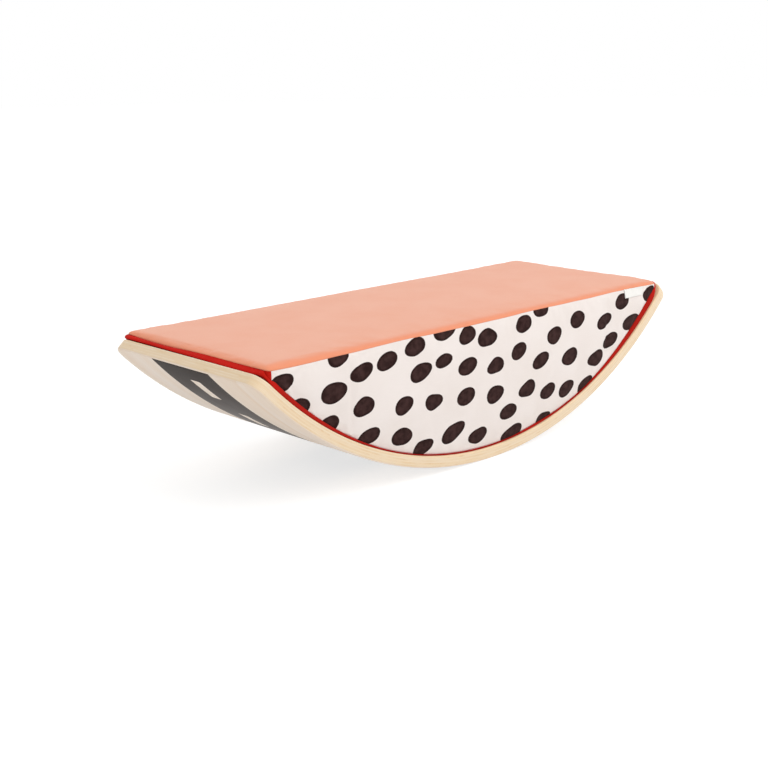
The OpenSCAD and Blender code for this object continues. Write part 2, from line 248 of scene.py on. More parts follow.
# Studio: lamps by place, size and power, and the floor's paper as light meets it and as it is shown
LAMPS = {"key": ((0.7, -2.5, 2.8), 2.6, 60), "fill": ((1.6, 3.0, 0.9), 2.0, 24)}
LAMP_TARGET = (0, 0, 0.1)
SKY_LIGHT = 0.72
FLOOR_Z = BEND_Z - OUTER_R - PAINT_PROUD
FLOOR_RADIUS = 12.0
FLOOR_STEPS = 96
FLOOR_PAPER, FLOOR_SHOWN, FLOOR_GLOW = 0.8, 0.45, 0.72


def srgb(red, green, blue):
    """Linear colour of a tone."""
    def linear(c):
        c /= 255
        return c / 12.92 if c <= 0.04045 else ((c + 0.055) / 1.055) ** 2.4
    return (linear(red), linear(green), linear(blue), 1.0)


def setup(thing, **settings):
    """Gives a thing its settings."""
    for key, value in settings.items():
        setattr(thing, key, value)
    return thing


def circle(sides):
    """Angles of points round a circle."""
    return [2 * pi * m / sides for m in range(sides)]


class Shader:
    """Node tree of a material or of the world, with short calls for its nodes."""

    def __init__(self, name, store="materials"):
        self.owner = getattr(bpy.data, store).new(name)
        self.owner.use_nodes = True
        self.tree = self.owner.node_tree
        self.surface = self.tree.nodes.get("Principled BSDF")

    def put(self, socket, value):
        """Links a socket or sets it; three numbers are a tone."""
        if isinstance(value, bpy.types.NodeSocket):
            self.tree.links.new(value, socket)
        else:
            socket.default_value = srgb(*value) if np.size(value) == 3 else value

    def add(self, kind, inputs=None, **settings):
        node = setup(self.tree.nodes.new("ShaderNode" + kind), **settings)
        for key, value in (inputs or {}).items():
            self.put(node.inputs[key], value)
        return node

    def math(self, operation, *values):
        return self.add("Math", dict(enumerate(values)), operation=operation).outputs[0]

    def split(self, vector):
        return self.add("SeparateXYZ", {0: vector}).outputs

    def join(self, x, y, z=0.0):
        return self.add("CombineXYZ", {0: x, 1: y, 2: z}).outputs[0]

    def scaled(self, *axes):
        """Vector of values, each times its own number."""
        return self.join(*[self.math("MULTIPLY", value, times) for value, times in axes])

    def noise(self, vector, scale=1.0, detail=2.0, roughness=0.5):
        inputs = {"Vector": vector, "Scale": scale, "Detail": detail, "Roughness": roughness}
        return self.add("TexNoise", inputs).outputs[0]

    def fit(self, value, low, high, to_low=0.0, to_high=1.0):
        """Smooth step of a value from one range to another."""
        inputs = {"Value": value, "From Min": low, "From Max": high, "To Min": to_low, "To Max": to_high}
        return self.add("MapRange", inputs, interpolation_type="SMOOTHSTEP").outputs[0]

    def mix(self, share, first, second):
        return self.add("Mix", {0: share, 6: first, 7: second}, data_type="RGBA").outputs[2]

    def place(self):
        return self.add("TexCoord").outputs["Object"]

    def attribute(self, name, output="Vector"):
        return self.add("Attribute", attribute_name=name).outputs[output]

    def seen(self):
        """1 for what the camera sees itself, in a reflection or through glass; 0 for light on surfaces."""
        path = self.add("LightPath").outputs
        camera, glossy, glass = (path[f"Is {ray} Ray"] for ray in ("Camera", "Glossy", "Transmission"))
        return self.math("MAXIMUM", self.math("MAXIMUM", camera, glossy), glass)

    def bump(self, height, strength, distance):
        inputs = {"Height": height, "Strength": strength, "Distance": distance}
        self.put(self.surface.inputs["Normal"], self.add("Bump", inputs).outputs[0])

    def finish(self, colour, roughness, **constants):
        """Sets the surface's sockets; names are written with _ for a space."""
        for name, value in {"Base Color": colour, "Roughness": roughness, **constants}.items():
            self.put(self.surface.inputs[name.replace("_", " ")], value)
        return self.owner


def waves(mat, value, period):
    """Sine of a length, with one wave in each period."""
    return mat.math("SINE", mat.math("MULTIPLY", value, 2 * pi / period))


def weave(mat, first, second, pitch):
    """Height of a plain weave of threads along two directions, from 0 to 1."""
    product = mat.math("MULTIPLY", waves(mat, first, 2 * pitch), waves(mat, second, 2 * pitch))
    return mat.math("MULTIPLY_ADD", product, 0.5, 0.5)


def veneer_wood(number):
    """Pale varnished veneer: honey bands, fine grain lines and short pores along its own grain."""
    mat = Shader(f"wood_{number}")
    along, across, depth = mat.split(mat.attribute("lay"))
    if number % 2 == 0:
        along, across = across, along
    layer = mat.math("ADD", depth, 0.37 * number)

    def grain(length, width, thick, detail):
        vector = mat.scaled((along, 1 / length), (across, 1 / width), (layer, 1 / thick))
        return mat.noise(vector, 1.0, detail, 0.55)

    bands = mat.fit(grain(1.1, 0.045, 0.03, 3), 0.35, 0.72)
    streaks = mat.fit(grain(0.5, 0.012, 0.006, 2), 0.56, 0.74)
    lines = grain(0.09, 0.0016, 0.0009, 2)
    pores = mat.fit(grain(0.012, 0.0005, 0.0005, 1), 0.66, 0.78)
    # The convex face underneath takes paler tones: painted light in place of the bounce light it lacks
    pale, honey, deep = WOOD_TONES[2 if number == VENEER_COUNT else number % 2]
    colour = mat.mix(bands, pale, honey)
    colour = mat.mix(mat.math("MULTIPLY", streaks, 0.45), colour, deep)
    colour = mat.mix(mat.fit(lines, 0.45, 0.75, 0.0, 0.16), colour, deep)
    colour = mat.mix(mat.math("MULTIPLY", pores, 0.22), colour, WOOD_PORE)
    for joint in (number - 1, number):
        if 0 < joint < VENEER_COUNT:
            apart = mat.math("ABSOLUTE", mat.math("SUBTRACT", depth, joint * VENEER_THICK))
            line = mat.fit(apart, 0.00005, 0.00030, 0.12, 0.0)
            colour = mat.mix(line, colour, WOOD_GLUE)
    height = mat.math("MULTIPLY_ADD", pores, -0.6, lines)
    mat.bump(height, 0.12, 0.0002)
    roughness = mat.fit(lines, 0.3, 0.8, 0.40, 0.52)
    return mat.finish(colour, roughness, Coat_Weight=0.12, Coat_Roughness=0.35)


def road_paint():
    """Satin black print: faint grain of the wood under it, and light scuffs."""
    mat = Shader("road_paint")
    along, across, _ = mat.split(mat.attribute("lay"))
    grain = mat.noise(mat.scaled((along, 12.0), (across, 650.0)))
    cloud = mat.noise(mat.join(along, across), 26.0, 3)
    scuff = mat.fit(mat.noise(mat.scaled((along, 160.0), (across, 28.0)), 1.0, 3), 0.62, 0.8)
    colour = mat.mix(cloud, (27, 20, 17), (36, 28, 24))
    colour = mat.mix(mat.math("MULTIPLY", scuff, 0.12), colour, (96, 88, 82))
    roughness = mat.math("MULTIPLY_ADD", cloud, 0.10, mat.fit(scuff, 0.0, 1.0, 0.24, 0.36))
    mat.bump(grain, 0.10, 0.0001)
    return mat.finish(
        colour, roughness, Specular_IOR_Level=0.012, Sheen_Weight=0.08, Sheen_Roughness=0.3,
        Sheen_Tint=(255, 205, 172))


def cloth(name, first, second, tint, pitch, sheen, painted_shade=None, printed=None):
    """Woven cotton in the plane of two axes, with slubs, uneven dye, painted shade between the threads and
    wherever more is passed in, a soft nap and what is printed on it.
    """
    mat = Shader(name)
    axes = mat.split(mat.place())
    u, v = axes[first], axes[second]
    height = weave(mat, u, v, pitch)
    slub = mat.noise(mat.scaled((u, 60.0), (v, 900.0)))
    dye = mat.noise(mat.join(u, v), 14.0, 4)
    colour = mat.mix(mat.fit(dye, 0.3, 0.7), tint[0], tint[1])
    if painted_shade:
        colour = painted_shade(mat, colour, u, v)
    # Painted shade between the threads, where the weave dips, with more of it along the slubs
    between = mat.fit(height, 0.0, 0.6, 0.22, 0.0)
    shade = mat.math("MULTIPLY", mat.fit(slub, 0.3, 0.7, 0.3, 1.0), between)
    colour = mat.mix(shade, colour, tint[2])
    if printed:
        colour = printed(mat, colour, u, v)
    mat.bump(mat.math("MULTIPLY_ADD", slub, 0.5, height), 0.35, 0.0003)
    roughness = mat.fit(slub, 0.3, 0.7, 0.82, 0.95)
    return mat.finish(
        colour, roughness, Sheen_Weight=sheen, Sheen_Roughness=0.45, Sheen_Tint=(255, 244, 238),
        Specular_IOR_Level=0.12)


def printed_dots(mat, colour, u, v):
    """Dark ink, darkest at its rim, where the cloth's stored distance to the nearest dot is below zero."""
    away = mat.attribute("dots", "Fac")
    ragged = mat.noise(mat.join(u, v), 420.0, 2)
    away = mat.math("MULTIPLY_ADD", ragged, 0.0005, away)
    brush = mat.noise(mat.join(u, v), 110.0, 3)
    rim = mat.fit(away, -0.0034, -0.0014, 0.0, 0.5)
    tone = mat.math("SUBTRACT", mat.fit(brush, 0.25, 0.75), rim)
    ink = mat.mix(tone, DOT_INK[0], DOT_INK[1])
    return mat.mix(mat.fit(away, 0.0, 0.0005, 1.0, 0.0), colour, ink)


def edge_painted_shade(mat, colour, u, v):
    """Painted shade: a deeper, more saturated orange where the top panel turns down to its seam, standing in
    for how light falls on its rolled edge.
    """
    far_y = mat.math("SUBTRACT", HALF_SEAM, mat.math("ABSOLUTE", v))
    far_x = mat.math("SUBTRACT", HALF_CUSHION, mat.math("ABSOLUTE", u))
    edge = mat.math("MINIMUM", far_x, far_y)
    cloud = mat.noise(mat.join(u, v), 22.0, 2)
    edge = mat.math("MULTIPLY_ADD", cloud, 0.006, edge)
    return mat.mix(mat.fit(edge, 0.003, 0.022, 0.75, 0.0), colour, EDGE_SHADE_TONE)


def crease_painted_shade(mat, colour, u, v):
    """Painted shade: deeper red on the narrow strips that lie in the creases below the side panels, with less
    of it towards the open ends.
    """
    crease = mat.fit(mat.math("ABSOLUTE", v), HALF_SEAM - 0.017, HALF_SEAM - 0.003)
    open_end = mat.fit(mat.math("ABSOLUTE", u), HALF_CUSHION - 0.030, HALF_CUSHION - 0.010, 1.0, 0.45)
    return mat.mix(mat.math("MULTIPLY", crease, open_end), colour, CREASE_SHADE_TONE)


def ellipse_reach(length, width, turn):
    """Distance from an ellipse's middle to its edge, at an angle from its long axis."""
    return length * width / np.hypot(width * np.cos(turn), length * np.sin(turn))


def dot_layout(seed):
    """Places, half sizes, leans and shapes of irregular dots that keep clear of each other."""
    rng = np.random.default_rng(seed)
    half, low, high = DOT_FIELD
    stretch = np.array([[cos(DOT_LEAN), sin(DOT_LEAN)], [-sin(DOT_LEAN), cos(DOT_LEAN)]])
    stretch[0] /= DOT_STRETCH
    places = np.zeros((0, 2))
    for _ in range(DOT_COUNT):
        tries = np.c_[rng.uniform(-half, half, DOT_TRIES), rng.uniform(low, high, DOT_TRIES)]
        if len(places):
            apart = np.linalg.norm((tries[:, None] - places[None]) @ stretch.T, axis=2).min(axis=1)
            places = np.vstack([places, tries[apart.argmax()]])
        else:
            places = tries[:1]
    size = len(places)
    large = rng.random(size) > LARGE_FROM
    length, width = (
        least + spread * rng.random(size) + more * large for least, spread, more in (DOT_LENGTH, DOT_WIDTH))
    lean = DOT_LEAN + rng.normal(0, LEAN_SPREAD, size)
    shape = np.transpose([
        rng.uniform(low, high, size) for low, high in ((-DOT_EGG, DOT_EGG), (0, DOT_WOBBLE), (0, DOT_PHASE))])
    for _ in range(SHRINK_ROUNDS):
        for i in range(size):
            step = places - places[i]
            apart = np.linalg.norm(step, axis=1)
            apart[i] = 1.0
            way = np.arctan2(step[:, 1], step[:, 0])
            apart -= ellipse_reach(length, width, way - lean)
            apart -= ellipse_reach(length[i], width[i], way - lean[i])
            tight = np.argmin(apart)
            if apart[tight] < DOT_GAP:
                length[[i, tight]] *= SHRINK
                width[[i, tight]] *= SHRINK
    return places, length, width, lean, shape


def distance_to_dots(points, layout):
    """Signed distance, roughly, from points of a side panel to the edge of the nearest dot."""
    nearest = np.full(len(points), 1.0)
    for place, length, width, lean, (egg, wobble, phase) in zip(*layout):
        step = points - place
        u = step[:, 0] * cos(lean) + step[:, 1] * sin(lean)
        v = step[:, 1] * cos(lean) - step[:, 0] * sin(lean)
        slim = width * np.clip(1 + egg * u / length, 0.6, 1.4)
        uneven = 1 + wobble * np.sin(3 * np.arctan2(v, u) + phase)
        nearest = np.minimum(nearest, (np.hypot(u / length, v / slim) / uneven - 1) * width)
    return nearest


def tag_cloth():
    """Plain white satin ribbon with a fine rib."""
    mat = Shader("tag_ribbon")
    x, _, z = mat.split(mat.place())
    height = weave(mat, x, z, 0.00035)
    dye = mat.noise(mat.join(x, z), 120.0, 3)
    colour = mat.mix(dye, (238, 235, 230), (244, 242, 237))
    mat.bump(height, 0.25, 0.00015)
    return mat.finish(colour, mat.fit(dye, 0.3, 0.7, 0.5, 0.62), Sheen_Weight=0.1)


def tape_cloth():
    """Black zip tape in a narrow herringbone."""
    mat = Shader("zip_tape_weave")
    x, _, z = mat.split(mat.place())
    rows = mat.math("PINGPONG", z, 0.0012)
    twill = waves(mat, mat.math("ADD", x, rows), 0.0009)
    dust = mat.noise(mat.join(x, z), 240.0, 3)
    # Lighter on the twill's ridges and darker between them: painted light and shade
    colour = mat.mix(mat.fit(twill, -1.0, 1.0), (26, 25, 26), (50, 48, 49))
    colour = mat.mix(mat.fit(dust, 0.6, 0.8, 0.0, 0.25), colour, (88, 85, 84))
    mat.bump(twill, 0.4, 0.0001)
    return mat.finish(colour, mat.fit(dust, 0.3, 0.7, 0.75, 0.9), Sheen_Weight=0.08)


def coil_plastic():
    """Black nylon of the zip's teeth, polished by the slider."""
    mat = Shader("zip_coil_nylon")
    rub = mat.noise(mat.place(), 900.0, 3)
    colour = mat.mix(rub, (28, 27, 28), (46, 44, 45))
    mat.bump(rub, 0.1, 0.00005)
    return mat.finish(colour, mat.fit(rub, 0.3, 0.7, 0.32, 0.5))


def plated_metal():
    """Nickel-plated zinc with faint brushing and rubbed spots."""
    mat = Shader("zip_nickel")
    x, y, z = mat.split(mat.place())
    brush = mat.noise(mat.scaled((x, 300.0), (y, 6000.0), (z, 6000.0)))
    rub = mat.noise(mat.place(), 420.0, 3)
    colour = mat.mix(rub, (176, 176, 180), (205, 204, 204))
    roughness = mat.math("MULTIPLY_ADD", brush, 0.14, mat.fit(rub, 0.35, 0.7, 0.20, 0.34))
    mat.bump(brush, 0.06, 0.00003)
    return mat.finish(colour, roughness, Metallic=1.0)


def foam_pores():
    """Cream polyurethane foam with open pores."""
    mat = Shader("foam_pores")
    cells = mat.add("TexVoronoi", {"Vector": mat.place(), "Scale": 700.0}).outputs["Distance"]
    cloud = mat.noise(mat.place(), 30.0, 4)
    colour = mat.mix(cloud, (240, 230, 200), (247, 240, 216))
    # Darker tone in the pores: painted shade
    colour = mat.mix(mat.fit(cells, 0.1, 0.5, 0.35, 0.0), colour, (196, 178, 138))
    mat.bump(cells, 0.5, 0.0006)
    return mat.finish(colour, mat.fit(cloud, 0.3, 0.7, 0.85, 0.98))


def thread(name, colour):
    """Twisted sewing thread."""
    mat = Shader(name)
    x, y, z = mat.split(mat.place())
    twist = waves(mat, mat.math("ADD", mat.math("ADD", x, y), z), 0.0007)
    # Darker along the grooves of the twist: painted shade
    tone = mat.mix(mat.fit(twist, -1.0, 1.0), colour, [0.82 * c for c in colour])
    mat.bump(twist, 0.3, 0.0001)
    return mat.finish(tone, mat.fit(twist, -1.0, 1.0, 0.6, 0.75), Sheen_Weight=0.15)


def new_object(name, data):
    """New object in the scene."""
    piece = bpy.data.objects.new(name, data)
    bpy.context.scene.collection.objects.link(piece)
    return piece


def make_object(name, points, faces, material):
    """New smooth mesh object."""
    mesh = bpy.data.meshes.new(name)
    mesh.from_pydata([tuple(p) for p in points], [], [tuple(f) for f in faces])
    mesh.materials.append(material)
    mesh.polygons.foreach_set("use_smooth", [True] * len(mesh.polygons))
    return new_object(name, mesh)


def strip_faces(base, size, rows, closed=True):
    """Quads between rows of points, all of one size, that follow each other from a first point on."""
    return [(base + k * size + m, base + k * size + (m + 1) % size,
             base + (k + 1) * size + (m + 1) % size, base + (k + 1) * size + m)
            for k in range(rows - 1) for m in range(size if closed else size - 1)]


def tube_faces(base, size, rows):
    """Quads between closed rows of points, with a face on the first row and one on the last."""
    last = base + (rows - 1) * size
    return strip_faces(base, size, rows) + [tuple(range(start, start + size)) for start in (base, last)]


def sheet_faces(ring, inner, nx, ny):
    """Quads of a sheet of nx by ny cells, from the ring of points round it and the rows of those inside."""
    def index(i, j):
        if j == 0:
            return ring[i]
        if i == nx:
            return ring[nx + j]
        if j == ny:
            return ring[2 * nx + ny - i]
        if i == 0:
            return ring[2 * (nx + ny) - j]
        return inner[(i - 1) * (ny - 1) + j - 1]

    return [(index(i, j), index(i + 1, j), index(i + 1, j + 1), index(i, j + 1))
            for i in range(nx) for j in range(ny)]


@contextmanager
def mesh_work(mesh):
    """Opens a mesh for bmesh calls, and writes it back after them."""
    work = bmesh.new()
    work.from_mesh(mesh)
    yield work
    work.to_mesh(mesh)
    work.free()


def face_outward(piece):
    """Turns the normals of a piece outward."""
    with mesh_work(piece.data) as work:
        bmesh.ops.recalc_face_normals(work, faces=work.faces)


def thicken(piece, name, thickness, offset=-1):
    """Gives a sheet its thickness, inward unless the offset says otherwise."""
    setup(piece.modifiers.new(name, "SOLIDIFY"), thickness=thickness, offset=offset)


def settle(piece):
    """Turns a piece's modifiers into mesh."""
    shaped = bpy.data.meshes.new_from_object(piece.evaluated_get(bpy.context.evaluated_depsgraph_get()))
    piece.modifiers.clear()
    piece.data = shaped


def sharpen(piece, angle):
    """Shades the piece's edges sharp where its faces meet at more than an angle."""
    with mesh_work(piece.data) as work:
        for edge in work.edges:
            edge.smooth = len(edge.link_faces) == 2 and edge.calc_face_angle() < angle


def set_lay(piece, lay):
    """Keeps each point's place on the flat blank: along it, across it and below its concave face."""
    stored = piece.data.attributes.new("lay", "FLOAT_VECTOR", "POINT")
    stored.data.foreach_set("vector", np.asarray(lay, np.float32).ravel())


def dress(piece, body, slot, *nodes):
    """Ties a piece to its body and hides the solids that it stands for; the slot is not used."""
    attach(piece, body)
    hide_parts(*nodes)
    return piece


def bend(flat):
    """Bends points of the flat stack, given as along, across and depth below the concave face."""
    angle = flat[:, 0] / MIDDLE_R
    r = BEND_RADIUS + flat[:, 2]
    return np.c_[r * np.sin(angle), flat[:, 1], BEND_Z - r * np.cos(angle)]


def bend_directions(flat, directions):
    """Turns directions at points of the flat stack as the bend does."""
    angle = flat[:, 0] / MIDDLE_R
    along, across, out = directions.T
    return np.c_[
        along * np.cos(angle) + out * np.sin(angle), across, along * np.sin(angle) - out * np.cos(angle)]


def long_side(inset):
    """One long side of the blank, left to right: x, y and the outward direction in its plane."""
    turn = np.linspace(pi / 2, 0, CORNER_STEPS + 1)
    r = CORNER_RADIUS - inset
    left = np.c_[
        CORNER_RADIUS - HALF_BLANK - r * np.sin(turn), HALF_BOARD - CORNER_RADIUS + r * np.cos(turn),
        -np.sin(turn), np.cos(turn)]
    x = np.linspace(-1, 1, LONG_STEPS + 1)[1:-1] * (HALF_BLANK - CORNER_RADIUS)
    middle = np.c_[x, np.full_like(x, HALF_BOARD - inset), np.zeros_like(x), np.ones_like(x)]
    return np.vstack([left, middle, left[::-1] * [-1, 1, -1, 1]])


def board_ring(depth):
    """Points and outward directions round the flat stack at a depth; both edges are rounded."""
    from_face = min(depth, BOARD_THICK - depth)
    lean = max(0.0, 1 - from_face / EDGE_ROUND)
    upright = sqrt(1 - lean * lean)
    side = long_side(EDGE_ROUND * (1 - upright))
    y = np.linspace(side[-1, 1], -side[-1, 1], ACROSS_STEPS + 1)[1:-1]
    end = np.c_[np.full_like(y, side[-1, 0]), y, np.ones_like(y), np.zeros_like(y)]
    ring = np.vstack([side, end, side[::-1] * [1, -1, 1, -1], end * [-1, -1, -1, 1]])
    facing = lean if depth > BOARD_THICK / 2 else -lean
    points = np.c_[ring[:, :2], np.full(len(ring), depth)]
    directions = np.c_[ring[:, 2:] * upright, np.full(len(ring), facing)]
    return points, directions


def capped_stack(rings):
    """Closed solid through rings of a board: its points, their outward directions and its faces."""
    n = 2 * CORNER_STEPS + LONG_STEPS + 1
    size = len(rings[0][0])
    points = [p for p, _ in rings]
    directions = [d for _, d in rings]
    faces = strip_faces(0, size, len(rings))
    used = size * len(rings)
    share = (np.arange(1, ACROSS_STEPS) / ACROSS_STEPS)[:, None]
    for k, facing in ((0, -1), (len(rings) - 1, 1)):
        ring = rings[k][0]
        first, second = ring[1:n - 1], ring[n + ACROSS_STEPS - 1:][1:n - 1][::-1]
        inner = (first[:, None] * (1 - share) + second[:, None] * share).reshape(-1, 3)
        points.append(inner)
        directions.append(np.tile([0.0, 0.0, facing], (len(inner), 1)))
        ids = range(used, used + len(inner))
        faces += sheet_faces(range(k * size, (k + 1) * size), ids, n - 1, ACROSS_STEPS)
        used += len(inner)
    return np.vstack(points), np.vstack(directions), faces


def veneer_depths(number):
    """Depths of a veneer's rings, close together where the board's edge is round."""
    top, end = (number - 1) * VENEER_THICK, number * VENEER_THICK
    turned = EDGE_ROUND * (1 - np.cos(np.linspace(0, pi / 2, ROUND_STEPS)))
    between = [d for d in (*turned, *(BOARD_THICK - turned)) if top + 1e-5 < d < end - 1e-5]
    return sorted([top, *between, end])


def veneer(number, node, slot):
    """One bent layer of the plywood."""
    flat, directions, faces = capped_stack([board_ring(d) for d in veneer_depths(number)])
    piece = make_object(f"veneer_{number}", bend(flat), faces, veneer_wood(number))
    face_outward(piece)
    set_lay(piece, flat)
    piece.data.normals_split_custom_set_from_vertices(bend_directions(flat, directions).tolist())
    return dress(piece, "board", slot, node)


def quarter_of_dash(reach):
    """A quarter of a dash's outline and the matching points on the edge of its stretch of road."""
    half_l, half_w, r = DASH_LENGTH / 2, DASH_WIDTH / 2, DASH_CORNER
    edge = ROAD_WIDTH / 2
    bend_in, side_in = 0.8 * reach, 0.8 * edge
    run, drop, turns, rise = 5, 2, 4, 3
    arc = np.linspace(0, pi / 2, turns + 1)
    inner = np.vstack([
        np.linspace((0, half_w), (half_l - r, half_w), run + 1)[:-1],
        np.c_[half_l - r + r * np.sin(arc), half_w - r + r * np.cos(arc)],
        np.linspace((half_l, half_w - r), (half_l, 0), rise + 1)[1:]])
    outer = np.vstack([
        np.linspace((0, edge), (bend_in, edge), run + 1)[:-1],
        np.linspace((bend_in, edge), (reach, edge), drop + 1),
        np.linspace((reach, edge), (reach, side_in), drop + 1)[1:],
        np.linspace((reach, side_in), (reach, 0), rise + 1)[1:]])
    return inner, outer


def on_convex_face(points):
    """Places on the flat stack for lengths along and across the convex face, also round its ends."""
    along = points[:, 0]
    turn = np.clip((np.abs(along) - ROAD_LIMIT) / EDGE_ROUND, 0, pi / 2)
    straight = np.clip(along, -ROAD_LIMIT, ROAD_LIMIT) / OUTER_R * MIDDLE_R
    out = EDGE_ROUND + PAINT_PROUD
    return np.c_[
        straight + np.sign(along) * out * np.sin(turn), points[:, 1],
        BOARD_THICK - EDGE_ROUND + out * np.cos(turn)]


def road_print():
    """Painted road on the convex face, with the wood left bare in its lane dashes."""
    first = DASH_START + DASH_LENGTH / 2 - HALF_ANGLE * OUTER_R
    middles = [first + k * DASH_PITCH for k in range(DASH_COUNT)]
    borders = [-ROAD_LIMIT] + [(a + b) / 2 for a, b in zip(middles, middles[1:])] + [ROAD_LIMIT]
    points, faces = [], []
    for middle, left, right in zip(middles, borders, borders[1:]):
        loops = [[], []]
        for reach, x, y, turn in (
                (right - middle, 1, 1, 1), (right - middle, 1, -1, -1),
                (middle - left, -1, -1, 1), (middle - left, -1, 1, -1)):
            for loop, quarter in zip(loops, quarter_of_dash(reach)):
                loop.append((quarter * [x, y])[::turn][:-1])
        inner, outer = (np.vstack(loop) for loop in loops)
        faces += strip_faces(len(points), len(inner), PAINT_LAYERS + 1)
        for k in range(PAINT_LAYERS + 1):
            share = k / PAINT_LAYERS
            points += [(middle + p[0], p[1]) for p in inner * (1 - share) + outer * share]
    rows = sorted({round(y, 7) for x, y in points if abs(x - ROAD_LIMIT) < 1e-7})
    for end in (-1, 1):
        faces += strip_faces(len(points), len(rows), WRAP_STEPS + 1, closed=False)
        for k in range(WRAP_STEPS + 1):
            points += [(end * (ROAD_LIMIT + PAINT_WRAP * EDGE_ROUND * k / WRAP_STEPS), y) for y in rows]
    flat = on_convex_face(np.array(points))
    piece = make_object("road_film", bend(flat), faces, road_paint())
    set_lay(piece, flat)
    with mesh_work(piece.data) as work:
        bmesh.ops.remove_doubles(work, verts=work.verts, dist=1e-6)
        bmesh.ops.recalc_face_normals(work, faces=work.faces)
        if sum(f.normal.z for f in work.faces) > 0:
            bmesh.ops.reverse_faces(work, faces=work.faces)
    thicken(piece, "paint", PAINT_THICK)
    settle(piece)
    sharpen(piece, radians(40))
    return dress(piece, "board", "road_paint", "road_print")


def wander(x, length, seed):
    """Smooth uneven value from -1 to 1 along a length."""
    return noise.noise(Vector((x / length, seed, 0.5)))


def seat_z(x):
    """Height of the cushion's underside, which follows the concave face."""
    return BEND_Z - np.sqrt(SEAT_R ** 2 - np.square(x))


def cushion_ring(inset):
    """Points and outward directions round the cushion's plan, from its front left corner."""
    sizes = np.array(CUSHION_CORNERS)
    centres = np.array([(-1, -1), (1, -1), (1, 1), (-1, 1)]) * ((HALF_CUSHION, HALF_SEAM) - sizes)
    sizes = sizes - inset

    def half_corner(corner, start):
        a = np.linspace(start, start + pi / 4, CORNER_CELLS + 1)[:-1]
        d = np.c_[np.cos(a), np.sin(a)]
        return centres[corner] + sizes[corner] * d, d

    parts = []
    for k in range(4):
        after = (k + 1) % 4
        start = radians(225 + 90 * k)
        middle = start + pi / 4
        way = np.array([cos(middle), sin(middle)])
        cells = LONG_CELLS if k % 2 == 0 else END_CELLS
        share = np.linspace(0, 1, cells + 1)[:-1, None]
        first, last = (centres[c] + sizes[c] * way for c in (k, after))
        straight = first * (1 - share) + last * share, np.tile(way, (cells, 1))
        parts += [half_corner(k, start), straight, half_corner(after, middle)]
    points, directions = zip(*parts)
    return np.vstack(points), np.vstack(directions)


def bell(x, middle, reach):
    """Smooth bump with a height of 1 at its middle."""
    return np.exp(-np.square((x - middle) / reach))


def ramp(x, start, reach):
    """Rise from 0 to 1 that starts at a place and takes a length."""
    return np.clip((x - start) / reach, 0, 1)


def red_strip(x):
    """Height of the red edge that shows under the side panels, uneven along the cushion."""
    return (STRIP_LEAST + STRIP_BULGE * bell(x, BULGE_X, BULGE_REACH)
            + STRIP_LEFT * ramp(-x, LEFT_START, LEFT_REACH) ** LEFT_POWER
            + STRIP_RIGHT * ramp(x, RIGHT_START, RIGHT_REACH) ** RIGHT_POWER)


def right_corner(points):
    """Share of the droop of the cushion's front right corner."""
    return bell(points[:, 0], DROOP_X, DROOP_REACH) * bell(points[:, 1], DROOP_Y, DROOP_REACH)


def seam_height(points, out):
    """Height of the top seam round the cushion; the front one sags and wanders, and so do the ends."""
    x, y = points[:, 0], points[:, 1]
    front = np.clip(-out[:, 1], 0, 1) ** 2
    wave = np.array([wander(a, 0.12, 3.1) + 0.4 * wander(a, 0.04, 5.3) for a in x])
    slow = np.array([wander(b, 0.09, 8.2) for b in y])
    dip = LEFT_DIP * bell(y, LEFT_DIP_Y, LEFT_DIP_REACH)
    ends = np.where(x < 0, LEFT_RISE + LEFT_WANDER * slow - dip, RIGHT_WANDER * slow - RIGHT_SINK)
    return (SEAM_Z + front * (FRONT_WANDER * wave - FRONT_SAG) + out[:, 0] ** 2 * ends
            - SEAM_DROOP * right_corner(points))


def cap_grid(ring):
    """Points inside a ring, row by row across the cushion."""
    front, right = ring[:NX + 1], ring[NX:NX + NY + 1]
    back, left = ring[NX + NY:2 * NX + NY + 1][::-1], np.vstack([ring[2 * NX + NY:], ring[:1]])[::-1]
    u = np.linspace(0, 1, NX + 1)[:, None, None]
    v = np.linspace(0, 1, NY + 1)[None, :, None]
    sides = front[:, None] * (1 - v) + back[:, None] * v + left[None] * (1 - u) + right[None] * u
    corners = (front[0] * (1 - u) * (1 - v) + front[-1] * u * (1 - v)
               + back[0] * (1 - u) * v + back[-1] * u * v)
    return sides - corners


